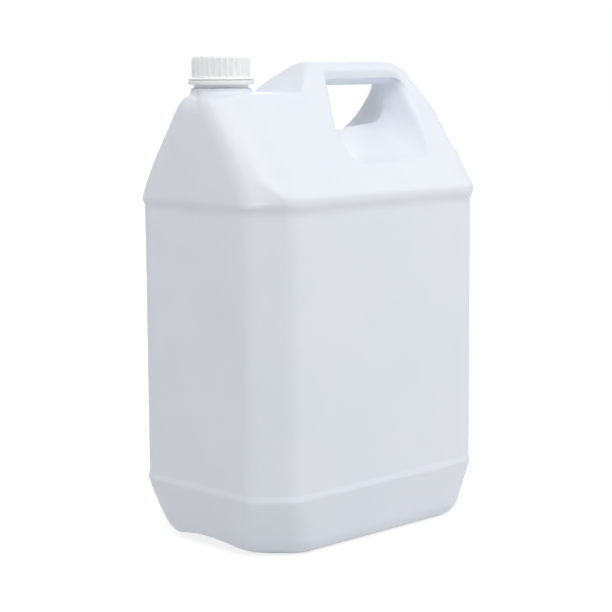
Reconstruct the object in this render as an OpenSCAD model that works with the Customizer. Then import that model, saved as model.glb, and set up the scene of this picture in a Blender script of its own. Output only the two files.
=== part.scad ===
// Square plastic jug of about five litres: a blow-moulded body with a gabled
// shoulder and a pinched-through handle, closed by a ribbed screw cap over a
// tamper-evident band. Millimetres, +Z up, origin under the middle of the base.
// X runs along the wide faces with the cap at -X, and the mould parts at y = 0.

/* [Body] */
// Length over the shoulder rim
body_length = 190; // [160:1:240]
// Width over the shoulder rim
body_width = 131; // [118:1:150]
// Height of the carrying handle's crown
body_height = 290; // [278:1:306]
// Radius of the upright corners
corner_radius = 30; // [22:1:38]
// Thickness of the blown wall
wall = 1.3; // [0.9:0.1:2]
// Depth of the label panels below the rim
panel_recess = 0.8; // [0.6:0.1:2]
// Height of the step at each end of a panel
panel_step = 5.6; // [3:0.2:9]

/* [Base] */
// Height of the base band
band_height = 38; // [28:1:50]
// How far the base band stands proud of the panels
band_proud = 0.5; // [0.2:0.1:0.6]
// Inward lean of the base band in degrees
band_lean = 11; // [5:0.5:20]
// Radius of the bottom edge
foot_radius = 13; // [4:0.5:16]
// Height of the channel that lifts the mould's pinch line off the ground
channel_height = 6.5; // [1:0.1:9]
// Width of that channel
channel_width = 80; // [30:1:86]

/* [Shoulder] */
// Height of the rim where the gabled roof begins
rim_height = 207; // [195:1:215]
// Radius of the rounded rim
rim_radius = 9; // [4:0.5:14]
// Radius of the rounded ridge where the roof's two slopes meet
ridge_radius = 12.2; // [10:0.2:15]
// Drop from the crown to the platform that carries the neck
platform_drop = 22; // [19:1:28]
// Radius of the platform's front edge
platform_edge = 8; // [3:0.5:12]
// Radius of the roof's upright edges at the platform
gable_radius = 20; // [12:1:24]

/* [Handle] */
// Distance from the front end to the foot of the ramp that rises to the crown
ramp_setback = 67; // [62:1:72]
// Slope of that ramp in degrees
ramp_angle = 41; // [38:1:55]
// Radius where the ramp rolls over into the crown
ramp_roll = 12; // [6:1:16]
// Radius of the ramp's side edges
ramp_edge = 5; // [2:0.5:8]
// Radius of the handle's back
back_radius = 40; // [30:1:45]
// Half width of the grip where its sides are upright
grip_half = 11; // [10:0.5:13]
// Height over the rim of the crease where the back post starts to narrow
crease_rise = 24; // [14:1:30]
// Sideways lean of the back post, run over rise
post_slope = 0.95; // [0.8:0.05:1.1]

/* [Finger gap at the parting plane] */
// Distance from the front end to the front edge, at the floor
gap_front_setback = 90; // [86:1:96]
// Distance from the back end to the back edge, at the floor
gap_back_setback = 31; // [28:1:40]
// Depth of the grip between the crown and the gap
grip_depth = 18.3; // [17:0.1:22]
// Height from floor to roof, at the middle of the body's length
gap_height = 29.5; // [26:0.5:31]
// Backward lean of the front edge, run over rise
gap_front_lean = 0.29; // [0.1:0.01:0.4]
// Backward lean of the back edge, run over rise
gap_back_lean = 0.06; // [0:0.01:0.4]
// Rise of the floor towards the back, rise over run
gap_floor_lean = 0.1; // [0:0.01:0.15]
// Corner radius
gap_corner = 9; // [7:0.5:11]
// Half thickness of the rounded pinch between the two sides
pinch_half = 4; // [3:0.5:9]

/* [Finger gap towards the sides, growth per millimetre of depth] */
// Forward growth of the front edge
gap_front_spread = 0.28; // [0.1:0.02:0.4]
// Backward growth of the back edge
gap_back_spread = 0.06; // [0:0.02:0.3]
// Fall of the floor
gap_floor_spread = 0.31; // [0.2:0.01:0.4]
// Rise of the roof under the grip
gap_roof_spread = 0.4; // [0.2:0.05:0.8]
// Rise of the roof beside the grip, along the grip's sides
grip_side_spread = 6; // [3:0.5:8]
// Growth of the corner radius
gap_corner_spread = 0.12; // [0:0.02:0.2]

/* [Neck] */
// Distance from the front end to the neck's axis
neck_setback = 23.4; // [22:0.2:26]
// Diameter of the neck wall between its threads
neck_diameter = 27.6; // [26:0.2:28]
// Diameter of the mouth
mouth_diameter = 22.6; // [20:0.2:23]
// Diameter of the seat under the tamper band
seat_diameter = 35; // [33:0.2:36]
// Height of that seat over the platform
seat_height = 3.6; // [2.5:0.1:5]
// Height of the neck from its seat to its lip
neck_height = 15.2; // [14:0.1:18]
// Diameter of the bead that keeps the band on the neck
bead_diameter = 30; // [29:0.1:30.4]
// Height of that bead
bead_height = 1.6; // [1:0.1:1.8]

/* [Screw cap] */
// Outside diameter over the ribs
cap_diameter = 34.2; // [33.8:0.2:37]
// Bore of the skirt, over the neck's threads
cap_bore = 30.6; // [30:0.2:31]
// Height of the ribs over the skirt
rib_height = 0.6; // [0.3:0.1:0.7]
// Width of a rib
rib_width = 1.8; // [1.2:0.1:2.2]
// Number of ribs round the skirt
rib_count = 30; // [18:1:36]
// Thickness of the top
cap_top = 1.8; // [1.2:0.1:3]
// Height of the skirt's flared foot
flare_height = 1.7; // [1.2:0.1:2.5]
// Bevel of the top edge
cap_bevel = 0.8; // [0.3:0.1:1]

/* [Tamper band and liner] */
// Outside diameter of the tamper band
band_diameter = 38.4; // [37:0.2:40]
// Height of the tamper band
tamper_height = 4.2; // [4:0.1:5]
// Height of the lip that snaps under the neck's bead
lip_height = 2; // [1.2:0.1:2]
// Number of bridges between the band and the cap
bridge_count = 8; // [4:1:16]
// Width of a bridge
bridge_width = 1.4; // [0.8:0.1:2]
// Height of the slit that the bridges span
slit_height = 0.5; // [0.4:0.1:1]
// Thickness of the sealing liner
liner_thickness = 1.2; // [0.8:0.1:2]

/* [Hidden] */
$fn = 64;

// Room between pieces that turn or slide on each other
clearance = 0.3;
// Facets in each corner of a ring, and in each round of the body's profile
corner_steps = 8;
round_steps = 4;
// Smallest half width and radius that a ring may shrink to
ring_min = 0.6;
// Largest share of a ring's half width that a corner may round
round_share = 0.9;
// Rise of the platform over its length, which keeps its two rings apart
platform_rise = 0.4;
// The finger gap's rings crowd towards the grip by this power
gap_crowding = 2;

half_length = body_length / 2;
half_width = body_width / 2;

// The panel's lower step runs into the base band, and its upper step into the rim
panel_bottom = band_height + panel_step / 2;
panel_top = rim_height - panel_step;
band_inset = panel_recess - band_proud;

// Centre of the foot's round, measured inwards from the rim
foot_drop = band_height - panel_step / 2 - foot_radius * (1 - sin(band_lean));
foot_inset = band_inset + foot_drop * tan(band_lean) + foot_radius * cos(band_lean);

// Radius of the base channel's arch, from its chord and its height
channel_radius = (pow(channel_width / 2, 2) + pow(channel_height, 2)) / (2 * channel_height);

// Each roof slope touches the rim's round and the ridge's round, which sets its lean from upright
ridge_centre = body_height - ridge_radius;
round_run = half_width - rim_radius;
round_rise = ridge_centre - rim_height;
roof_lean = acos((ridge_radius - rim_radius) / norm([round_run, round_rise])) - atan(round_rise / round_run);
roof_start = rim_height + rim_radius * sin(roof_lean);
ridge_start = ridge_centre + ridge_radius * sin(roof_lean);
crease_height = rim_height + crease_rise;

// Places along the jug and up the handle, from its ends and its crown
platform_height = body_height - platform_drop;
neck_x = neck_setback - half_length;
ramp_foot_x = ramp_setback - half_length;
gap_front = gap_front_setback - half_length;
gap_back = half_length - gap_back_setback;
gap_roof = body_height - grip_depth;
gap_floor = gap_roof - gap_height;

// The ramp's roll touches the ramp and the crown
roll_centre_z = body_height - ramp_roll;
roll_offset = (roll_centre_z - platform_height) * cos(ramp_angle) + ramp_roll;
roll_centre_x = ramp_foot_x + roll_offset / sin(ramp_angle);
roll_start = roll_centre_z + ramp_roll * cos(ramp_angle);

// Height at which the handle's back leaves the upright end
back_start = body_height - back_radius;

// Heights up the neck and the closure
seat_top = platform_height + seat_height;
bead_bottom = seat_top + lip_height + clearance;
tamper_top = seat_top + tamper_height;
skirt_bottom = tamper_top + slit_height;
neck_top = seat_top + neck_height;
cap_roof = neck_top + liner_thickness;
cap_crown = cap_roof + cap_top;

// Radii of the closure
skirt_radius = cap_diameter / 2 - rib_height;
bridge_radius = (cap_bore + cap_diameter) / 4;

// Values from one to another in equal steps, both included
function steps_between(from, to, count) = [for (k = [0:count]) from + (to - from) * k / count];

// Centre that lies at the given distances along two edges' normals, each set by its angle
function corner_centre(a, a_dist, b, b_dist) =
    [(a_dist * sin(b) - b_dist * sin(a)) / sin(b - a),
     (b_dist * cos(a) - a_dist * cos(b)) / sin(b - a)];

// Rounded outline from edges of [normal angle, distance, radius of the corner that follows]
function rounded_outline(edges) =
    [for (i = [0:len(edges) - 1])
        let (e = edges[i],
             f = edges[(i + 1) % len(edges)],
             turn = (f[0] - e[0] + 360) % 360,
             centre = corner_centre(e[0], e[1] - e[2], f[0], f[1] - e[2]))
        for (angle = steps_between(e[0], e[0] + turn, corner_steps))
            centre + e[2] * [cos(angle), sin(angle)]];

// Closed skin through rings of equal point counts, with flat ends
module skin(rings) {
    count = len(rings[0]);
    last = len(rings) - 1;
    sides = [for (i = [0:last - 1], j = [0:count - 1])
        let (a = i * count + j,
             b = i * count + (j + 1) % count)
        each [[a, a + count, b + count], [a, b + count, b]]];
    first_end = [for (j = [0:count - 1]) j];
    last_end = [for (j = [count - 1:-1:0]) last * count + j];
    polyhedron([for (ring = rings) each ring], concat(sides, [first_end, last_end]), convexity = 8);
}

// Half width of the gabled roof at a height: the rim's round, the slope and the ridge's round
function roof_half(z) =
    z < roof_start ? half_width - rim_radius + sqrt(pow(rim_radius, 2) - pow(z - rim_height, 2)) :
    z < ridge_start ? ridge_radius / cos(roof_lean) + (ridge_centre - z) * tan(roof_lean) :
    sqrt(max(0, pow(ridge_radius, 2) - pow(z - ridge_centre, 2)));

// Half width at the handle's back post, which narrows faster and runs into the grip
function post_half(z) =
    z < crease_height ? roof_half(z) :
    min(roof_half(z), max(roof_half(crease_height) - (z - crease_height) * post_slope, grip_half));

// Front of the gable, with the round of the platform's edge
function gable_front(z) =
    let (rise = max(0, z - platform_height + platform_edge))
    -half_length + platform_edge - sqrt(max(0, pow(platform_edge, 2) - pow(rise, 2)));

// Front of the handle: the ramp and its roll into the crown
function ramp_front(z) =
    z < roll_start ? ramp_foot_x + (z - platform_height) / tan(ramp_angle) :
    roll_centre_x - sqrt(max(0, pow(ramp_roll, 2) - pow(z - roll_centre_z, 2)));

// Back of the body, with the round of the handle's back
function back_end(z) =
    half_length - back_radius + sqrt(max(0, pow(back_radius, 2) - pow(max(0, z - back_start), 2)));

// Radius of an upright edge, which changes evenly from the rim to a higher level
function edge_radius(z, top_radius, top_z) =
    corner_radius + (top_radius - corner_radius) * (z - rim_height) / (top_z - rim_height);

// A level of the body: [height, front half width, back half width, front, back, front and back radius]
function body_level(z, inset) =
    [z, half_width - inset, half_width - inset, inset - half_length, half_length - inset,
     corner_radius, corner_radius];
function roof_level(z, front, front_radius) =
    [z, roof_half(z), post_half(z), front, back_end(z),
     front_radius, edge_radius(z, grip_half, body_height)];
function gable_level(z) = roof_level(z, gable_front(z), edge_radius(z, gable_radius, platform_height));
function handle_level(z) = roof_level(z, ramp_front(z), ramp_edge);

// Values in rising order, each once
function rising(values) =
    len(values) == 0 ? [] :
    concat(rising([for (v = values) if (v < values[0]) v]),
           [values[0]],
           rising([for (v = values) if (v > values[0]) v]));

// A panel's step from one inset to another, in two rounds that meet halfway
function panel_levels(z, from, to) =
    [for (share = steps_between(0, 1, round_steps))
        body_level(z + panel_step * share, from + (to - from) * (1 - cos(180 * share)) / 2)];

// Heights of the roof's levels: the rim's round, the crease, the platform's edge, the ramp and its roll
roof_heights = rising(concat(
    [for (angle = steps_between(roof_lean / round_steps, roof_lean, round_steps - 1))
        rim_height + rim_radius * sin(angle)],
    [crease_height],
    [for (angle = steps_between(0, 90, round_steps))
        platform_height - platform_edge * (1 - sin(angle))],
    steps_between(platform_height + platform_rise, roll_start, 2 * round_steps),
    [for (angle = steps_between(ramp_angle * (1 - 1 / round_steps), 0, round_steps - 1))
        roll_centre_z + ramp_roll * cos(angle)]));

levels = concat(
    [for (angle = steps_between(0, 90 - band_lean, round_steps))
        body_level(foot_radius * (1 - cos(angle)), foot_inset - foot_radius * sin(angle))],
    panel_levels(panel_bottom - panel_step, band_inset, panel_recess),
    panel_levels(panel_top, panel_recess, 0),
    [for (z = roof_heights)
        z <= platform_height ? gable_level(z) : handle_level(z)]);

// One level's outline, moved inwards by a wall and squeezed in height by it
function body_ring(level, inset) =
    let (front_half = max(level[1] - inset, ring_min),
         back_half = max(level[2] - inset, ring_min),
         span = body_length - 2 * corner_radius,
         taper = atan((front_half - back_half) / span),
         side = front_half * cos(taper) - span / 2 * sin(taper),
         front_radius = max(min(level[5] - inset, front_half * round_share), ring_min / 2),
         back_radius = max(min(level[6] - inset, back_half * round_share), ring_min / 2),
         z = inset + level[0] * (1 - 2 * inset / body_height))
    [for (p = rounded_outline([[0, level[4] - inset, back_radius],
                               [90 - taper, side, front_radius],
                               [180, -level[3] - inset, front_radius],
                               [270 + taper, side, back_radius]]))
        [p[0], p[1], z]];

// The outside form of the blown body, or the same form some way in
module body_form(inset) {
    skin([for (level = levels) body_ring(level, inset)]);
}

// Outline of the finger gap at a distance from the parting plane, beside a grip of some half width
function gap_ring(y, grip, grow) =
    let (depth = sqrt(pow(y, 2) + pow(pinch_half, 2)) - pinch_half,
         front_lean = atan(gap_front_lean),
         back_lean = atan(gap_back_lean),
         floor_lean = atan(gap_floor_lean * (1 - depth / half_width)),
         back = gap_back - gap_floor * gap_back_lean + gap_back_spread * depth,
         front = gap_front - gap_floor * gap_front_lean - gap_front_spread * depth,
         roof = gap_roof + gap_roof_spread * depth + grip_side_spread * max(0, abs(y) - grip),
         floor = gap_floor - gap_floor_spread * depth,
         radius = gap_corner + gap_corner_spread * depth + grow)
    [for (p = rounded_outline([[-back_lean, back * cos(back_lean) + grow, radius],
                               [90, roof + grow, radius],
                               [180 - front_lean, grow - front * cos(front_lean), radius],
                               [270 + floor_lean, grow - floor * cos(floor_lean), radius]]))
        [p[0], y, p[1]]];

// A ring's distance from the parting plane, for a count of 1 at the grip's side and 2 at the wide face
function gap_station(count, grip) =
    abs(count) <= 1 ? grip * count :
    sign(count) * (grip + (half_width - grip) * pow(abs(count) - 1, gap_crowding));

// Cutter for the finger gap, which runs under the grip and up beside it
module finger_gap(grow) {
    grip = grip_half - grow;
    skin([for (count = steps_between(2, -2, 4 * round_steps))
        gap_ring(gap_station(count, grip), grip, grow)]);
}

// Shallow arch along the base, over the line where the mould pinches the blown tube shut
module base_channel(grow) {
    translate([-half_length, 0, channel_height - channel_radius])
        rotate([0, 90, 0])
            cylinder(r = channel_radius + grow, h = body_length);
}

// The blown shell: its outside form, less the same form one wall in
module blown_shell() {
    difference() {
        body_form(0);
        finger_gap(0);
        base_channel(0);
        difference() {
            body_form(wall);
            finger_gap(wall);
            base_channel(wall);
        }
    }
}

// The neck with its seat and the bead that keeps the tamper band on, still without a mouth
module neck_outside() {
    translate([neck_x, 0, platform_height - wall / 2]) {
        cylinder(d = seat_diameter, h = seat_height + wall / 2);
        cylinder(d = neck_diameter, h = seat_height + neck_height + wall / 2);
    }
    translate([neck_x, 0, bead_bottom])
        rotate_extrude()
            polygon([[0, 0],
                     [bead_diameter / 2, 0],
                     [neck_diameter / 2, bead_height],
                     [0, bead_height]]);
}

module jug_body() {
    color("white")
        difference() {
            union() {
                blown_shell();
                neck_outside();
            }
            translate([neck_x, 0, platform_height - platform_edge])
                cylinder(d = mouth_diameter, h = body_height);
        }
}

// Ring left on the neck: a lip under the bead, a sleeve round it and the bridges on top
module tamper_band() {
    color("whitesmoke")
        translate([neck_x, 0, seat_top]) {
            rotate_extrude()
                polygon([[neck_diameter / 2 + clearance, 0],
                         [seat_diameter / 2, 0],
                         [band_diameter / 2, (band_diameter - seat_diameter) / 4],
                         [band_diameter / 2, tamper_height],
                         [bead_diameter / 2 + clearance, tamper_height],
                         [bead_diameter / 2 + clearance, lip_height],
                         [neck_diameter / 2 + clearance, lip_height]]);
            for (i = [0:bridge_count - 1])
                rotate(360 / bridge_count * i)
                    translate([bridge_radius, 0, tamper_height])
                        cube([bridge_width, bridge_width, 2 * slit_height], center = true);
        }
}

module screw_cap() {
    rib_bottom = skirt_bottom + flare_height;
    color("whitesmoke")
        translate([neck_x, 0, 0]) {
            rotate_extrude()
                polygon([[cap_bore / 2, skirt_bottom],
                         [band_diameter / 2, skirt_bottom],
                         [band_diameter / 2, skirt_bottom + slit_height],
                         [skirt_radius, rib_bottom],
                         [skirt_radius, cap_crown - cap_bevel],
                         [skirt_radius - cap_bevel, cap_crown],
                         [0, cap_crown],
                         [0, cap_roof],
                         [cap_bore / 2, cap_roof]]);
            for (i = [0:rib_count - 1])
                rotate(360 / rib_count * i)
                    translate([cap_diameter / 2 - rib_width / 2, 0, rib_bottom - slit_height])
                        cylinder(d = rib_width, h = cap_crown - cap_bevel - rib_bottom + slit_height);
        }
}

module cap_liner() {
    color("gainsboro")
        translate([neck_x, 0, neck_top])
            cylinder(d = cap_bore - 2 * clearance, h = liner_thickness);
}

jug_body();
tamper_band();
screw_cap();
cap_liner();
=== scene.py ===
"""Looks for the square plastic jug: skins, closure, materials, light and camera.

The blown body is a smooth skin drawn from one implicit form with the CAD part's
driving sizes. The neck and the closure are turned from profiles. Sizes are in
millimetres up to the point where a mesh is made. Materials, lamps and the
camera are in metres.
"""

import math

import bpy
import numpy as np
from mathutils import Matrix, Vector


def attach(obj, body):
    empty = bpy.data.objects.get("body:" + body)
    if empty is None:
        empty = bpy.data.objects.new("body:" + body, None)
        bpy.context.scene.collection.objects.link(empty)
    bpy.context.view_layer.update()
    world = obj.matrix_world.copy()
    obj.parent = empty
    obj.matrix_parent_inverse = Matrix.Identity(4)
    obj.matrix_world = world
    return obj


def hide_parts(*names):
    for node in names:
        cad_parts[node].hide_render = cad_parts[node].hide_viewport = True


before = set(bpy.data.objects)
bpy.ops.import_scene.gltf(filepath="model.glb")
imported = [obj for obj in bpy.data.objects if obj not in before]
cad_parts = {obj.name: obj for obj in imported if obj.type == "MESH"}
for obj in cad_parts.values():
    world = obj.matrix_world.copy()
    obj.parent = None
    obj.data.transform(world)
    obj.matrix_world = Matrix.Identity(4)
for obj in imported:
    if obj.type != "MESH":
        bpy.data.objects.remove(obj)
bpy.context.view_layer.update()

MM = 0.001  # metres in a millimetre
TINY = 1e-6  # keeps a length from being zero where it divides

# Body, with its sizes over the rim and the facets on its upright corners
HALF_LENGTH = 95.0
HALF_WIDTH = 65.5
HEIGHT = 290.0
WALL = 1.3
PANEL_RECESS = 1.25
FRONT_SETBACK = 18.6
BACK_SETBACK = 17.3
CORNER_EDGE = 14.0  # round of a facet's edges

# Base
BAND_TOP = 35.8
BAND_LEDGE = 4.4  # height of the step up to the panels
BAND_INSET = 0.7
BAND_LEAN = math.radians(11)
LEAN_RUN = 12.0  # height over which the lean sets in
FOOT_RADIUS = 13.0
FOOT_SETBACK = 8.0  # what the front facets gain down to the ground
FOOT_EDGE = 24.0  # round of the facets' edges at the ground
CHANNEL_HEIGHT = 6.5
CHANNEL_HALF = 40.0
CHANNEL_EDGE = 3.0
CHANNEL_RADIUS = (CHANNEL_HALF**2 + CHANNEL_HEIGHT**2) / (2 * CHANNEL_HEIGHT)

# Shoulder: each roof slope touches the rim's round and the ridge's round
RIM_HEIGHT = 208.6
RIM_RADIUS = 8.0
RIM_NOSE = 7.4  # height of the rim's underside
RIM_SKEW = 1.4  # above 1, the underside turns in further down
RIDGE_RADIUS = 12.2
RIDGE_CENTRE = HEIGHT - RIDGE_RADIUS
ROUND_RUN = HALF_WIDTH - RIM_RADIUS
ROUND_RISE = RIDGE_CENTRE - RIM_HEIGHT
ROOF_TURN = math.acos((RIDGE_RADIUS - RIM_RADIUS) / math.hypot(ROUND_RUN, ROUND_RISE))
ROOF_LEAN = ROOF_TURN - math.atan2(ROUND_RISE, ROUND_RUN)
PLATFORM = HEIGHT - 21.8
PLATFORM_EDGE = 11.0
GABLE_SETBACK = 13.0  # of the front facets over the rim
GABLE_RUN = 20.0  # height over which they get there
GABLE_EDGE = 11.5  # round of the gable's edges at the platform
SHOULDER_EDGE = 34.0  # round between a front facet and the roof
SHOULDER_RUN = 14.0  # height over which it gets there

# Handle
RAMP_FOOT = 67.0 - HALF_LENGTH
RAMP_ANGLE = math.radians(41)
RAMP_ROLL = 12.0  # round from the ramp to the crown
RAMP_EDGE = 3.5
RAMP_FILLET = 6.0
BACK_RADIUS = 40.0
BACK_START = HEIGHT - BACK_RADIUS
GRIP_HALF = 11.0
CREASE = 230.5  # height where the back post starts to narrow
POST_SETBACK = 6.4
POST_ROUNDING = 6.0  # at one over this of its height, the post has lost its facets
FULL_ROUND = 1 + math.sqrt(0.5)  # edge radius over setback that leaves no facet
POST_START = 20.0  # X from which the form narrows to the back post
POST_BLEND = 30.0  # length over which that sets in
POST_INSET = 1.6
POST_LEDGE = 4.0
POST_LEAN = 0.1
POST_SOFT = 5.0
POST_ROUND = 5.5  # what the post loses beside the gap
POST_RUN = 26.0  # length over which that fades
POST_ROUND_RUN = 24.0  # height over which it sets in

# Finger gap, at the parting plane and its growth per millimetre of depth
GAP_FRONT = 90.0 - HALF_LENGTH
GAP_BACK = HALF_LENGTH - 31.0
GAP_ROOF = HEIGHT - 18.3
GAP_FLOOR = GAP_ROOF - 29.5
GAP_FRONT_LEAN = 0.29
GAP_BACK_LEAN = 0.06
GAP_FLOOR_LEAN = 0.1
PINCH_HALF = 2.5
PINCH_LIP = 2.2
PINCH_RUN = 3.5
GAP_FRONT_SPREAD = 0.22
GAP_BACK_SPREAD = 0.02
GAP_FLOOR_SPREAD = 0.262
GAP_ROOF_SPREAD = 0.4
GRIP_SIDE_LEAN = 0.1
GRIP_EDGE = 1.5
GRIP_BACK_CORNER = 10.0
GAP_FRONT_CORNER = 8.0
GAP_FRONT_CORNER_SPREAD = 0.12
GAP_BACK_CORNER = 10.0
GAP_BACK_CORNER_SPREAD = 0.35
GAP_ROOF_CORNER = 4.0
GAP_ROOF_CORNER_SPREAD = 0.5
POCKET_EDGE = 4.0

# Neck and closure
NECK_X = 23.4 - HALF_LENGTH
SEAT_RADIUS = 17.5
SEAT_TOP = 271.6
SEAT_EDGE = 0.4
SEAT_FILLET = 2.9
SEAT_ROOT = 240.0
MOUTH_CUT = 12.6
MOUTH_DEPTH = 4 * WALL
NECK_SEGMENTS = 128
THREAD_LEAD = 4.5
THREAD_ROOT_HALF = 0.95
THREAD_CREST_HALF = 0.45
THREAD_STEPS = 72  # in a turn
THREAD_FADE = 10  # steps from an end to the full height
THREAD_STUB = 0.02  # share of the height that is left at an end
CAP_RADIUS = 17.1  # over the ribs
CAP_RIBS = 30
RIB_HEIGHT = 0.6
RIB_HALF = 1.15
RIB_SAMPLES = 14
BRIDGES = 8
BRIDGE_RADII = (15.5, 16.9)
BRIDGE_SIDES = (-0.7, 0.7)
BRIDGE_LEVELS = (275.4, 276.3)
SHARP = math.radians(40)  # turned edges over this angle stay sharp

# Drawing of skins
SLOPE_STEP = 0.02
POINTS_AT_ONCE = 120000
SETTLE_PASSES = 3
SETTLE_MOVE = 0.5
SETTLE_SLOPE = 0.2  # least squared slope that a move divides by


# Implicit forms: a field is (distance, normal), negative inside


def flat(points, normal, offset):
    """Half space below a plane."""
    normal = np.array(normal, float)
    return points @ normal - offset, np.broadcast_to(normal, points.shape)


def negative(field):
    return -field[0], -field[1]


def larger(a, b):
    """Intersection with a sharp edge."""
    first = a[0] > b[0]
    return np.where(first, a[0], b[0]), np.where(first[:, None], a[1], b[1])


def intersect(a, b, radius):
    """Intersection whose edge is a true fillet, at any angle between the two."""
    most = 0.95  # beyond this cosine the two count as no more parallel
    least = 1e-9
    cosine = np.clip(np.einsum("ij,ij->i", a[1], b[1]), -most, most)
    u = a[0] + radius
    v = b[0] + radius
    sine2 = 1 - cosine**2
    reach = np.sqrt(np.maximum((u * u + v * v - 2 * cosine * u * v) / sine2, least))
    weight_u = (u - cosine * v) / (sine2 * reach)
    weight_v = (v - cosine * u) / (sine2 * reach)
    edge = (weight_u > 0) & (weight_v > 0)
    sharp, sharp_normal = larger(a, b)
    normal = weight_u[:, None] * a[1] + weight_v[:, None] * b[1]
    return np.where(edge, reach - radius, sharp), np.where(edge[:, None], normal, sharp_normal)


def union(a, b, radius):
    return negative(intersect(negative(a), negative(b), radius))


def cut(a, b, radius):
    return intersect(a, negative(b), radius)


def facet(a, b, setback):
    """Half space under a chamfer over the edge of two fields, set back along both."""
    normal = a[1] + b[1]
    length = np.linalg.norm(normal, axis=1)
    return (a[0] + b[0] + setback) / length, normal / length[:, None]


def leaning(distance, x_part, y_part, z_part):
    """A field from an uneven distance and its slope, evened out by the slope's length."""
    parts = [np.broadcast_to(part, distance.shape) for part in (x_part, y_part, z_part)]
    slope = np.stack(parts, 1)
    length = np.linalg.norm(slope, axis=1)
    return distance / length, slope / length[:, None]


def ease(t):
    """Rises from 0 to 1 as t does, level at both ends."""
    return (1 - np.cos(np.pi * np.clip(t, 0, 1))) / 2


def soft_max(a, b, soft):
    return (a + b + np.sqrt((a - b) ** 2 + soft**2)) / 2


def wall_inset(z):
    """How far the upright walls lie inside the rim: base band, ledge, panel and rim."""
    lean = np.maximum(BAND_TOP - z, 0) * math.tan(BAND_LEAN)
    ledge = (PANEL_RECESS - BAND_INSET) * ease((z - BAND_TOP) / BAND_LEDGE)
    nose = 1 - ease(np.clip((RIM_HEIGHT - z) / RIM_NOSE, 0, 1) ** RIM_SKEW)
    return BAND_INSET + ledge - PANEL_RECESS * nose + lean


def post_narrowing(x, z):
    """How much thinner than the gable the back post is, above its crease, to the grip's width."""
    slope = math.tan(ROOF_LEAN)
    roof_half = RIDGE_RADIUS / math.cos(ROOF_LEAN)
    grip_top = RIDGE_CENTRE + (roof_half - GRIP_HALF - GRIP_EDGE) / slope
    above = z - CREASE
    onset = ease(above / POST_LEDGE)
    beside_gap = np.clip(1 - (x - GAP_BACK) / POST_RUN, 0, 1) ** 2
    inset = POST_INSET * onset + POST_LEAN * np.maximum(above, 0)
    inset += POST_ROUND * beside_gap * ease(above / POST_ROUND_RUN)
    room = np.maximum(grip_top - z, 0) * slope
    amount = -soft_max(-inset, -room, POST_SOFT * onset)
    return np.maximum(amount, 0) * ease((x - POST_START) / POST_BLEND)


def upright(distance, z, x_sign, y_sign):
    """An upright wall, leaning inwards to the ground over the base band."""
    lean = BAND_LEAN * ease((BAND_TOP - z) / LEAN_RUN)
    cos = np.cos(lean)
    return distance * cos, np.stack([x_sign * cos, y_sign * cos, -np.sin(lean)], 1)


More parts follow.
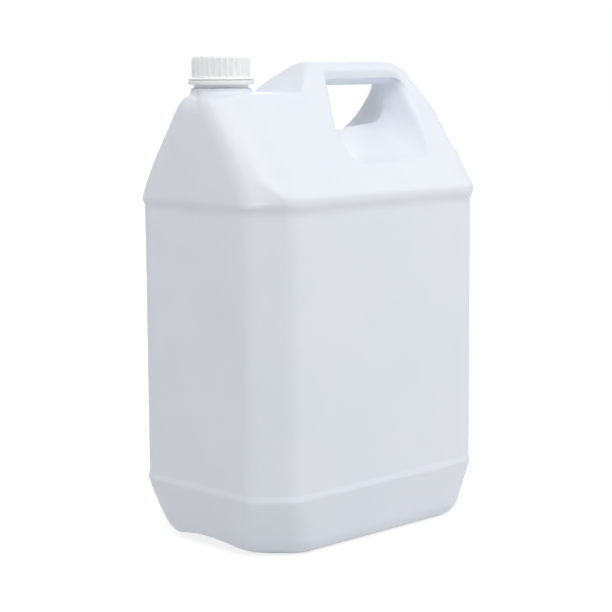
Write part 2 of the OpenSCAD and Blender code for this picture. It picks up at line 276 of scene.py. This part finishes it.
def blown_form(points):
    """Outside of the blown body before the neck is added."""
    x, y, z = points.T
    none = np.zeros_like(x)
    y_sign = np.where(y < 0, -1.0, 1.0)
    side = np.abs(y) + post_narrowing(x, z)
    inset = wall_inset(z)

    # Gabled cross-section: wall, rim, slope and rounded ridge
    cos, sin = math.cos(ROOF_LEAN), math.sin(ROOF_LEAN)
    up = z - RIDGE_CENTRE
    reach = np.maximum(np.hypot(side, up), TINY)
    on_ridge = up * cos > side * sin
    roof_y = y_sign * np.where(on_ridge, side / reach, cos)
    roof_z = np.where(on_ridge, up / reach, sin)
    roof = (
        np.where(on_ridge, reach, side * cos + up * sin) - RIDGE_RADIUS,
        np.stack([none, roof_y, roof_z], 1),
    )
    wall = upright(side - HALF_WIDTH + inset, z, none, y_sign)
    form = intersect(wall, roof, RIM_RADIUS)

    # Front end, with facets that widen to the ground and narrow up the gable
    front = upright(-x - HALF_LENGTH + inset, z, none - 1, none)
    up_gable = np.clip((z - RIM_HEIGHT) / (PLATFORM - RIM_HEIGHT), 0, 1)
    above_rim = np.maximum(z - RIM_HEIGHT, 0)
    down_band = np.clip(1 - z / BAND_TOP, 0, 1)
    low_edge = CORNER_EDGE + (FOOT_EDGE - CORNER_EDGE) * ease(down_band)
    slope_edge = low_edge + (SHOULDER_EDGE - CORNER_EDGE) * ease(above_rim / SHOULDER_RUN)
    gable_edge = low_edge + (GABLE_EDGE - CORNER_EDGE) * up_gable
    gable_setback = (FRONT_SETBACK - GABLE_SETBACK) * np.exp(-above_rim / GABLE_RUN)
    low_facet = facet(wall, front, FRONT_SETBACK + FOOT_SETBACK * down_band**2)
    high_facet = facet(roof, front, GABLE_SETBACK + gable_setback)
    corner = intersect(low_facet, high_facet, RIM_RADIUS)
    form = intersect(intersect(form, corner, slope_edge), front, gable_edge)

    # Back end with the round of the handle's back, whose facets turn into rounds
    run = x - HALF_LENGTH + BACK_RADIUS
    lift = np.maximum(z - BACK_START, 0)
    arc_run = np.maximum(run, 0)
    arc = np.maximum(np.hypot(arc_run, lift), TINY)
    end = upright(run - BACK_RADIUS + inset, z, none + 1, none)
    on_arc = lift > 0
    back = (
        np.where(on_arc, arc - BACK_RADIUS, end[0]),
        np.where(on_arc[:, None], np.stack([arc_run / arc, none, lift / arc], 1), end[1]),
    )
    up_post = np.clip((z - RIM_HEIGHT) / (HEIGHT - RIM_HEIGHT), 0, 1)
    post_setback = BACK_SETBACK + (POST_SETBACK - BACK_SETBACK) * up_post
    rounding = (FULL_ROUND * post_setback - CORNER_EDGE) * ease(up_post * POST_ROUNDING)
    back_edge = low_edge + rounding
    low_facet = facet(wall, back, BACK_SETBACK)
    corner = intersect(low_facet, facet(roof, back, post_setback), RIM_RADIUS)
    form = intersect(intersect(form, corner, back_edge), back, back_edge)

    # Platform for the neck and the ramp up to the handle
    ramp_normal = (-math.sin(RAMP_ANGLE), 0, math.cos(RAMP_ANGLE))
    ramp = flat(points, ramp_normal, RAMP_FOOT * ramp_normal[0] + PLATFORM * ramp_normal[2])
    top = union(flat(points, (0, 0, 1), PLATFORM), ramp, RAMP_FILLET)
    front_edge = (PLATFORM_EDGE - RAMP_EDGE) * ease((NECK_X - x) / SEAT_RADIUS)
    up_roll = (z - GAP_ROOF) / (HEIGHT - RAMP_EDGE - GAP_ROOF)
    roll_edge = (RAMP_ROLL - RAMP_EDGE) * ease(up_roll)
    form = intersect(form, top, RAMP_EDGE + front_edge + roll_edge)

    # Foot, and the channel over the mould's pinch line
    form = intersect(form, flat(points, (0, 0, -1), 0), FOOT_RADIUS)
    drop = z - CHANNEL_HEIGHT + CHANNEL_RADIUS
    arch = np.maximum(np.hypot(y, drop), TINY)
    channel = (arch - CHANNEL_RADIUS, np.stack([none, y / arch, drop / arch], 1))
    form = cut(form, channel, CHANNEL_EDGE)

    return cut(form, finger_gap(points), POCKET_EDGE)


def finger_gap(points):
    """The gap under the grip, which widens to both sides and runs up beside the grip."""
    x, y, z = points.T
    span = np.hypot(y, PINCH_HALF)
    depth = span - PINCH_HALF
    turn = y / span
    rise = z - GAP_FLOOR
    fall = np.exp(-depth / PINCH_RUN)
    lip, lip_slope = PINCH_LIP * (1 - fall), PINCH_LIP / PINCH_RUN * fall
    front = leaning(
        GAP_FRONT + GAP_FRONT_LEAN * rise - GAP_FRONT_SPREAD * depth - lip - x,
        -1, -(GAP_FRONT_SPREAD + lip_slope) * turn, GAP_FRONT_LEAN,
    )
    back = leaning(
        x - GAP_BACK - GAP_BACK_LEAN * rise - GAP_BACK_SPREAD * depth - lip,
        1, -(GAP_BACK_SPREAD + lip_slope) * turn, -GAP_BACK_LEAN,
    )
    floor_lean = GAP_FLOOR_LEAN * (1 - depth / HALF_WIDTH)
    floor = leaning(
        floor_lean * x - rise - GAP_FLOOR_SPREAD * depth - lip,
        floor_lean, -(GAP_FLOOR_SPREAD + lip_slope) * turn, -1,
    )
    under = leaning(
        z - GAP_ROOF - GAP_ROOF_SPREAD * depth,
        0, -GAP_ROOF_SPREAD * turn, 1,
    )
    beside = leaning(
        GRIP_HALF + GRIP_SIDE_LEAN * (z - GAP_ROOF) - np.abs(y),
        0, -np.sign(y), GRIP_SIDE_LEAN,
    )
    in_front = front[0] > back[0]
    corner = np.where(
        in_front,
        GAP_FRONT_CORNER + GAP_FRONT_CORNER_SPREAD * depth,
        GAP_BACK_CORNER + GAP_BACK_CORNER_SPREAD * depth,
    )
    walls = intersect(larger(front, back), floor, corner)
    roof_corner = GAP_ROOF_CORNER + GAP_ROOF_CORNER_SPREAD * depth
    side_corner = np.where(in_front, GRIP_EDGE, GRIP_BACK_CORNER)
    below_grip = intersect(walls, under, roof_corner)
    return union(below_grip, intersect(walls, beside, side_corner), GRIP_EDGE)


def outside_form(points):
    """The blown body with the seat under its neck."""
    across = points[:, 0] - NECK_X
    radius = np.maximum(np.hypot(across, points[:, 1]), TINY)
    none = np.zeros_like(radius)
    post_normal = np.stack([across / radius, points[:, 1] / radius, none], 1)
    post = (radius - SEAT_RADIUS, post_normal)
    seat = intersect(post, flat(points, (0, 0, 1), SEAT_TOP), SEAT_EDGE)
    seat = larger(seat, flat(points, (0, 0, -1), -SEAT_ROOT))
    return union(blown_form(points), seat, SEAT_FILLET)


# Skins drawn from a form


def stations(*spans):
    """Grid lines through spans of (start, end, step)."""
    lines = []
    for start, end, step in spans:
        count = max(2, round((end - start) / step) + 1)
        lines.append(np.linspace(start, end, count)[:-1])
    return np.concatenate(lines + [[spans[-1][1]]])


def distances(form, points, level):
    starts = range(0, len(points), POINTS_AT_ONCE)
    return np.concatenate([form(points[i:i + POINTS_AT_ONCE])[0] - level for i in starts])


def gradient(form, points, level):
    slopes = []
    for step in np.eye(3) * SLOPE_STEP:
        ahead = distances(form, points + step, level)
        behind = distances(form, points - step, level)
        slopes.append((ahead - behind) / (2 * SLOPE_STEP))
    return np.stack(slopes, 1)


def skin(form, lines, level=0.0):
    """Quads over the form's surface at a level, one vertex in each grid cell that it crosses."""
    grid = np.stack(np.meshgrid(*lines, indexing="ij"), -1)
    shape = grid.shape[:3]
    value = distances(form, grid.reshape(-1, 3), level).reshape(shape)
    inside = value < 0
    cells = tuple(n - 1 for n in shape)
    total = np.zeros(cells + (3,))
    count = np.zeros(cells)

    def corner(array, offset):
        return array[tuple(slice(o, o + n) for o, n in zip(offset, cells))]

    # Mean of the crossings on each cell's twelve edges
    for axis in range(3):
        others = [a for a in range(3) if a != axis]
        for i in (0, 1):
            for j in (0, 1):
                low = [0, 0, 0]
                low[others[0]], low[others[1]] = i, j
                high = list(low)
                high[axis] = 1
                a, b = corner(value, low), corner(value, high)
                crossed = corner(inside, low) != corner(inside, high)
                share = np.where(crossed, a / np.where(crossed, a - b, 1), 0)[..., None]
                place = corner(grid, low) * (1 - share) + corner(grid, high) * share
                total += place * crossed[..., None]
                count += crossed
    used = count > 0
    index = np.full(cells, -1)
    index[used] = np.arange(used.sum())
    vertices = total[used] / count[used][:, None]

    # One quad round each grid edge that crosses the surface
    faces = []
    for axis in range(3):
        u, v = (axis + 1) % 3, (axis + 2) % 3
        low = [slice(1, n - 1) for n in shape]
        low[axis] = slice(0, shape[axis] - 1)
        high = list(low)
        high[axis] = slice(1, shape[axis])
        starts = inside[tuple(low)]
        crossed = starts != inside[tuple(high)]
        spot = np.argwhere(crossed)
        spot[:, u] += 1
        spot[:, v] += 1
        ring = []
        for du, dv in ((1, 1), (0, 1), (0, 0), (1, 0)):
            cell = spot.copy()
            cell[:, u] -= du
            cell[:, v] -= dv
            ring.append(index[tuple(cell.T)])
        quad = np.stack(ring, 1)
        outward = starts[crossed]
        faces.append(np.where(outward[:, None], quad, quad[:, ::-1]))
    faces = np.concatenate(faces)

    # Settle the vertices on the surface
    for _ in range(SETTLE_PASSES):
        slope = gradient(form, vertices, level)
        squared = np.maximum((slope**2).sum(1), SETTLE_SLOPE)
        move = slope * (distances(form, vertices, level) / squared)[:, None]
        vertices -= np.clip(move, -SETTLE_MOVE, SETTLE_MOVE)
    normals = gradient(form, vertices, level)
    normals /= np.linalg.norm(normals, axis=1)[:, None]
    return vertices, faces, normals


def open_mouth(vertices, faces):
    """Faces of a skin outside the hole under the neck."""
    centre = vertices[faces].mean(1)
    radius = np.hypot(centre[:, 0] - NECK_X, centre[:, 1])
    return faces[(radius > MOUTH_CUT) | (centre[:, 2] < PLATFORM - MOUTH_DEPTH)]


# Meshes


def new_object(name, vertices, faces, normals=None, sharp_angle=None):
    """Mesh object from millimetres, smooth but for edges sharper than an angle."""
    mesh = bpy.data.meshes.new(name)
    places = (np.asarray(vertices) * MM).tolist()
    mesh.from_pydata(places, [], [list(map(int, f)) for f in faces])
    mesh.polygons.foreach_set("use_smooth", [True] * len(mesh.polygons))
    if sharp_angle is not None:
        mesh.set_sharp_from_angle(angle=sharp_angle)
    if normals is not None:
        mesh.normals_split_custom_set_from_vertices(normals.tolist())
    thing = bpy.data.objects.new(name, mesh)
    bpy.context.collection.objects.link(thing)
    return thing


def join_meshes(parts):
    """One list of vertices and faces from several."""
    vertices, faces, start = [], [], 0
    for part_vertices, part_faces in parts:
        vertices.extend(part_vertices)
        faces.extend([[start + i for i in face] for face in part_faces])
        start += len(part_vertices)
    return np.array(vertices), faces


def tube_faces(rings, count, closed):
    """Quads between rings of a count of points each, and from the last to the first if closed."""
    faces = []
    for s in range(rings if closed else rings - 1):
        here, there = s * count, (s + 1) % rings * count
        for k in range(count):
            n = (k + 1) % count
            faces.append([here + k, there + k, there + n, here + n])
    return faces


def on_neck(angle, radius, z):
    return NECK_X + radius * math.cos(angle), radius * math.sin(angle), z


def turned(profile, segments, ribs=None):
    """Closed ring turned about the neck's axis; ribs(angle) gives the growth of rib points.

    A profile point is (radius, height, share of the rib there), with the solid on its left.
    """
    vertices = []
    for s in range(segments):
        angle = 2 * math.pi * s / segments
        growth = ribs(angle) if ribs else 0.0
        vertices += [on_neck(angle, radius + growth * share, z) for radius, z, share in profile]
    return vertices, tube_faces(segments, len(profile), closed=True)


def helix(inner, outer, start_z, turns, phase):
    """Thread ridge from its root radius to its crest, fading out at both ends."""
    steps = int(turns * THREAD_STEPS)
    vertices = []
    for s in range(steps + 1):
        angle = phase + 2 * math.pi * s / THREAD_STEPS
        z = start_z + THREAD_LEAD * s / THREAD_STEPS
        fade = min(1.0, s / THREAD_FADE, (steps - s) / THREAD_FADE)
        crest = inner + (outer - inner) * max(fade, THREAD_STUB)
        vertices += [
            on_neck(angle, inner, z - THREAD_ROOT_HALF),
            on_neck(angle, crest, z - THREAD_CREST_HALF),
            on_neck(angle, crest, z + THREAD_CREST_HALF),
            on_neck(angle, inner, z + THREAD_ROOT_HALF),
        ]
    faces = tube_faces(steps + 1, 4, closed=False)
    faces += [[3, 2, 1, 0], [4 * steps + k for k in range(4)]]
    if outer < inner:
        faces = [face[::-1] for face in faces]
    return vertices, faces


def plain(*points):
    """Profile points without ribs."""
    return [(r, z, 0.0) for r, z in points]


# The blown body: an outer and an inner skin

OUTER_LINES = (
    stations((-96.5, -60, 1.25), (-60, -30, 2.0), (-30, 66, 1.5), (66, 96.5, 1.25)),
    stations((-67, -36, 1.25), (-36, -20, 1.8), (-20, 20, 1.25), (20, 36, 1.8), (36, 67, 1.25)),
    stations(
        (-1.5, 14, 1.1), (14, 34, 2.5), (34, 42, 0.7), (42, 202, 6.0),
        (202, 210, 0.5), (210, 218, 0.9), (218, 292, 1.2),
    ),
)
INNER_LINES = (
    stations((-96.5, 96.5, 3.5)),
    stations((-67, 67, 3.5)),
    stations((-1.5, 45, 3.5), (45, 195, 10.0), (195, 292, 3.0)),
)

outer_vertices, outer_faces, outer_normals = skin(outside_form, OUTER_LINES)
inner_vertices, inner_faces, inner_normals = skin(blown_form, INNER_LINES, -WALL)
outer_faces = open_mouth(outer_vertices, outer_faces)
inner_faces = open_mouth(inner_vertices, inner_faces)[:, ::-1] + len(outer_vertices)
body = new_object(
    "blown_body",
    np.concatenate([outer_vertices, inner_vertices]),
    np.concatenate([outer_faces, inner_faces]),
    np.concatenate([outer_normals, -inner_normals]),
)
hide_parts("jug_body")
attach(body, "jug")

# The neck with its bead, its lip and its thread

neck_profile = plain(
    (12.9, 264.8), (12.9, 268.0), (13.8, 270.4), (13.8, 273.9), (14.8, 273.9), (15.0, 274.05),
    (15.0, 274.25), (13.95, 275.45), (13.8, 275.6), (13.8, 286.1), (13.65, 286.5), (13.3, 286.75),
    (12.9, 286.8), (12.1, 286.8), (11.7, 286.7), (11.4, 286.4), (11.3, 286.0), (11.3, 264.8),
)
neck_ring = turned(neck_profile, NECK_SEGMENTS)
neck_thread = helix(inner=13.7, outer=15.0, start_z=278.0, turns=1.6, phase=0.6)
neck = new_object("neck_finish", *join_meshes([neck_ring, neck_thread]), sharp_angle=SHARP)
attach(neck, "jug")

# The tamper band, with a recess at its foot and with its bridges


def bridge(angle):
    """Small block across the slit between the band and the cap."""
    vertices = []
    for radius in BRIDGE_RADII:
        x, y, _ = on_neck(angle, radius, 0)
        for side in BRIDGE_SIDES:
            for z in BRIDGE_LEVELS:
                vertices.append((x - side * math.sin(angle), y + side * math.cos(angle), z))
    faces = [[0, 1, 3, 2], [4, 6, 7, 5], [0, 4, 5, 1], [2, 3, 7, 6], [1, 5, 7, 3], [0, 2, 6, 4]]
    return vertices, faces


band_profile = plain(
    (14.1, 271.75), (14.25, 271.6), (15.5, 271.6), (15.7, 271.7), (15.8, 271.9), (15.85, 272.9),
    (16.2, 273.25), (18.7, 273.6), (19.05, 273.75), (19.2, 274.05), (19.2, 275.8), (19.1, 276.0),
    (18.9, 276.08), (15.5, 276.08), (15.3, 275.9), (15.3, 273.7), (15.2, 273.6), (14.25, 273.6),
    (14.1, 273.45),
)
band_ring = turned(band_profile, NECK_SEGMENTS)
bridges = [bridge(2 * math.pi * i / BRIDGES) for i in range(BRIDGES)]
band = new_object("tamper_ring", *join_meshes([band_ring] + bridges), sharp_angle=SHARP)
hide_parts("tamper_band")
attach(band, "jug")

# The ribbed cap with its thread


def cap_rib(angle):
    """Growth of a cap rib at an angle: rounded ribs with plain flutes between them."""
    pitch = 2 * math.pi / CAP_RIBS
    off = (angle + pitch / 2) % pitch - pitch / 2
    share = min(1.0, abs(off) * CAP_RADIUS / RIB_HALF)
    return RIB_HEIGHT * (1 + math.cos(math.pi * share)) / 2


cap_foot = plain(
    (15.3, 276.6), (15.6, 276.3), (18.8, 276.3), (19.08, 276.38), (19.2, 276.6), (19.18, 276.82),
    (19.0, 277.0), (17.6, 277.6), (17.0, 277.86),
)
cap_ribs = [
    (16.72, 278.05, 0.25), (16.56, 278.3, 0.6), (16.5, 278.7, 0.9), (16.5, 279.2, 1.0),
    (16.5, 282.0, 1.0), (16.5, 285.0, 1.0), (16.5, 287.6, 1.0), (16.5, 288.2, 0.95),
    (16.47, 288.6, 0.8), (16.38, 289.0, 0.55), (16.2, 289.35, 0.3), (15.95, 289.6, 0.12),
]
cap_top = plain(
    (15.6, 289.75), (15.2, 289.8), (13.2, 289.8), (12.9, 289.74), (12.6, 289.56), (12.3, 289.5),
    (6.0, 289.5), (0.02, 289.5), (0.02, 288.0), (14.9, 288.0), (15.2, 287.9), (15.3, 287.6),
)
cap_skin = turned(cap_foot + cap_ribs + cap_top, CAP_RIBS * RIB_SAMPLES, cap_rib)
cap_thread = helix(inner=15.4, outer=14.15, start_z=279.6, turns=1.4, phase=0.6 + math.pi)
cap = new_object("ribbed_cap", *join_meshes([cap_skin, cap_thread]), sharp_angle=SHARP)
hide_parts("screw_cap")
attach(cap, "cap")

# Materials

SEAM_RUN = (0.0001, 0.0006)  # distances from the parting plane between which its line fades


class Nodes:
    """A material's node tree, with short calls for adding and linking nodes."""

    def __init__(self, name):
        self.material = bpy.data.materials.new(name)
        self.material.use_nodes = True
        self.tree = self.material.node_tree
        self.shader = self.tree.nodes["Principled BSDF"]
        self.place = self.add("ShaderNodeTexCoord").outputs["Object"]

    def add(self, kind, inputs=None, **settings):
        node = self.tree.nodes.new(kind)
        for key, value in settings.items():
            setattr(node, key, value)
        for key, value in (inputs or {}).items():
            if isinstance(value, bpy.types.NodeSocket):
                self.tree.links.new(value, node.inputs[key])
            else:
                node.inputs[key].default_value = value
        return node

    def noise(self, scale, detail, roughness=0.5):
        """Noise of about so many features a metre."""
        inputs = {"Vector": self.place, "Scale": scale, "Detail": detail, "Roughness": roughness}
        return self.add("ShaderNodeTexNoise", inputs).outputs["Fac"]

    def spread(self, value, low, high, start, end):
        """Maps a value from the range of start and end to low and high, smoothly."""
        inputs = {
            "Value": value, "From Min": start, "From Max": end, "To Min": low, "To Max": high,
        }
        node = self.add("ShaderNodeMapRange", inputs, interpolation_type="SMOOTHSTEP")
        return node.outputs["Result"]

    def blend(self, factor, a, b):
        node = self.add("ShaderNodeMix", {"Factor": factor}, data_type="RGBA")
        colours = [s for s in node.inputs if s.type == "RGBA"]
        colours[0].default_value = (*a, 1)
        colours[1].default_value = (*b, 1)
        return [s for s in node.outputs if s.type == "RGBA"][0]

    def bump(self, height, distance, below=None):
        inputs = {"Height": height, "Distance": distance, "Strength": 1.0}
        if below is not None:
            inputs["Normal"] = below
        return self.add("ShaderNodeBump", inputs).outputs["Normal"]

    def link(self, output, socket):
        self.tree.links.new(output, self.shader.inputs[socket])

    def set(self, **values):
        for key, value in values.items():
            self.shader.inputs[key.replace("_", " ")].default_value = value


def moulded_plastic(name, thin, thick, roughness, grain, waviness=None, seam=None):
    """Satin polyethylene: faint cloudiness, mould grain, slight waves and a parting line."""
    m = Nodes(name)
    clouds = m.spread(m.noise(scale=14, detail=3), 0, 1, 0.35, 0.65)
    m.link(m.blend(clouds, thin, thick), "Base Color")
    gloss = m.noise(scale=160, detail=4, roughness=0.6)
    m.link(m.spread(gloss, roughness - 0.05, roughness + 0.06, 0.3, 0.7), "Roughness")
    normal = m.bump(m.noise(scale=1500, detail=2), grain)
    if waviness:
        normal = m.bump(m.noise(scale=38, detail=1), waviness, normal)
    if seam:
        across = m.add("ShaderNodeSeparateXYZ", {"Vector": m.place}).outputs["Y"]
        away = m.add("ShaderNodeMath", {0: across}, operation="ABSOLUTE").outputs[0]
        normal = m.bump(m.spread(away, 1, 0, *SEAM_RUN), seam, normal)
    m.link(normal, "Normal")
    m.set(
        Subsurface_Weight=0.12, Subsurface_Scale=0.004, Subsurface_Radius=(1.0, 1.0, 1.0), IOR=1.5
    )
    return m.material


def liner_foam():
    m = Nodes("liner_foam")
    cells = m.noise(scale=900, detail=3)
    m.link(m.blend(cells, (0.76, 0.76, 0.74), (0.86, 0.86, 0.84)), "Base Color")
    m.link(m.bump(m.noise(scale=2500, detail=2), 0.0001), "Normal")
    m.set(Roughness=0.85)
    return m.material


def dress(thing, material):
    thing.data.materials.clear()
    thing.data.materials.append(material)


jug_plastic = moulded_plastic(
    "jug_plastic",
    thin=(0.826, 0.86, 0.926),
    thick=(0.846, 0.875, 0.94),
    roughness=0.42,
    grain=0.00004,
    waviness=0.0005,
    seam=0.00006,
)
cap_plastic = moulded_plastic(
    "cap_plastic",
    thin=(0.94, 0.948, 0.955),
    thick=(0.955, 0.96, 0.965),
    roughness=0.38,
    grain=0.00002,
)

for thing in (body, neck):
    dress(thing, jug_plastic)
for thing in (band, cap):
    dress(thing, cap_plastic)
dress(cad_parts["cap_liner"], liner_foam())

# Floor and backdrop, white where they are seen, which leaves the floor its shadow

WHITE = (1, 1, 1, 1)
FLOOR_HALF = 6.0
FLOOR_GLOW = 0.6  # share of plain white in what is seen of the floor
NEAR_LEVEL = 1.34  # level of that white beside the jug
FAR_LEVEL = 1.75  # and where the lamps no longer reach
LEVEL_RUN = (0.4, 1.6)  # distances between which it rises
SKY_LEVEL = 0.25


def seen_rays(tree):
    """Output that is 1 for what is seen, also in gloss or through glass, and 0 for plain light."""
    rays = tree.nodes.new("ShaderNodeLightPath").outputs
    seen = rays["Is Camera Ray"]
    for kind in ("Is Glossy Ray", "Is Transmission Ray"):
        either = tree.nodes.new("ShaderNodeMath")
        either.operation = "MAXIMUM"
        tree.links.new(seen, either.inputs[0])
        tree.links.new(rays[kind], either.inputs[1])
        seen = either.outputs[0]
    return seen


floor_mesh = bpy.data.meshes.new("floor")
floor_mesh.from_pydata(
    [(x * FLOOR_HALF, y * FLOOR_HALF, 0) for x, y in ((-1, -1), (1, -1), (1, 1), (-1, 1))],
    [],
    [[0, 1, 2, 3]],
)
floor = bpy.data.objects.new("floor", floor_mesh)
bpy.context.collection.objects.link(floor)

pale = Nodes("floor")
pale.set(Base_Color=(0.8, 0.8, 0.8, 1), Roughness=0.9)
away = pale.add("ShaderNodeVectorMath", {0: pale.place}, operation="LENGTH").outputs["Value"]
level = pale.spread(away, NEAR_LEVEL, FAR_LEVEL, *LEVEL_RUN)
glow = pale.add("ShaderNodeEmission", {"Color": WHITE, "Strength": level})
seen = seen_rays(pale.tree)
share = pale.add("ShaderNodeMath", {0: seen, 1: FLOOR_GLOW}, operation="MULTIPLY").outputs[0]
mixed = pale.add("ShaderNodeMixShader", {"Fac": share})
pale.tree.links.new(pale.shader.outputs[0], mixed.inputs[1])
pale.tree.links.new(glow.outputs[0], mixed.inputs[2])
pale.tree.links.new(mixed.outputs[0], pale.tree.nodes["Material Output"].inputs["Surface"])
dress(floor, pale.material)

scene = bpy.context.scene
scene.view_settings.view_transform = "Standard"
scene.world = bpy.data.worlds.new("studio")
scene.world.use_nodes = True
sky = scene.world.node_tree
backdrop = sky.nodes["Background"]
backdrop.inputs["Color"].default_value = (0.97, 0.985, 1.0, 1)
backdrop.inputs["Strength"].default_value = SKY_LEVEL
white = sky.nodes.new("ShaderNodeBackground")
white.inputs["Color"].default_value = WHITE
choose = sky.nodes.new("ShaderNodeMixShader")
sky.links.new(seen_rays(sky), choose.inputs[0])
sky.links.new(backdrop.outputs[0], choose.inputs[1])
sky.links.new(white.outputs[0], choose.inputs[2])
sky.links.new(choose.outputs[0], sky.nodes["World Output"].inputs["Surface"])

# Lamps

MIDDLE = Vector((0, 0, 0.15))


def softbox(name, place, size, watts):
    """Square area lamp turned to the jug's middle."""
    lamp = bpy.data.lights.new(name, "AREA")
    lamp.size = size
    lamp.energy = watts
    thing = bpy.data.objects.new(name, lamp)
    thing.location = place
    thing.rotation_euler = (MIDDLE - Vector(place)).to_track_quat("-Z", "Y").to_euler()
    bpy.context.collection.objects.link(thing)


softbox("front", (-0.8, -0.9, 1.7), 1.2, 20.0)
softbox("overhead", (0, 0, 2.0), 1.6, 4.8)
softbox("left", (-0.5, 0.5, 0.35), 0.4, 0.35)
softbox("right", (0.9, -0.8, 0.9), 0.8, 2.8)
softbox("right_low", (0.6, -0.6, 0.4), 0.4, 0.9)
softbox("back", (0.9, 1.2, 0.45), 0.8, 5.0)

# Camera, fitted to the photograph

IMAGE = 612  # side of the photograph in pixels
FOCAL = 1776.9  # focal length in those pixels
SENSOR = 36.0
CENTRE = (310.69, 309.39)  # where the camera's axis meets the photograph
CAMERA_PLACE = Vector((-0.7619, -0.7801, 0.2887))
CAMERA_TARGET = Vector((0, 0, 0.1341))
CAMERA_ROLL = math.radians(-0.34)

lens = bpy.data.cameras.new("camera")
lens.sensor_width = SENSOR
lens.lens = FOCAL / IMAGE * SENSOR
lens.shift_x = -(CENTRE[0] - IMAGE / 2) / IMAGE
lens.shift_y = (CENTRE[1] - IMAGE / 2) / IMAGE
camera = bpy.data.objects.new("camera", lens)
aim = (CAMERA_TARGET - CAMERA_PLACE).to_track_quat("-Z", "Y").to_matrix()
turn = aim @ Matrix.Rotation(CAMERA_ROLL, 3, "Z")
camera.matrix_world = Matrix.Translation(CAMERA_PLACE) @ turn.to_4x4()
bpy.context.collection.objects.link(camera)
scene.camera = camera
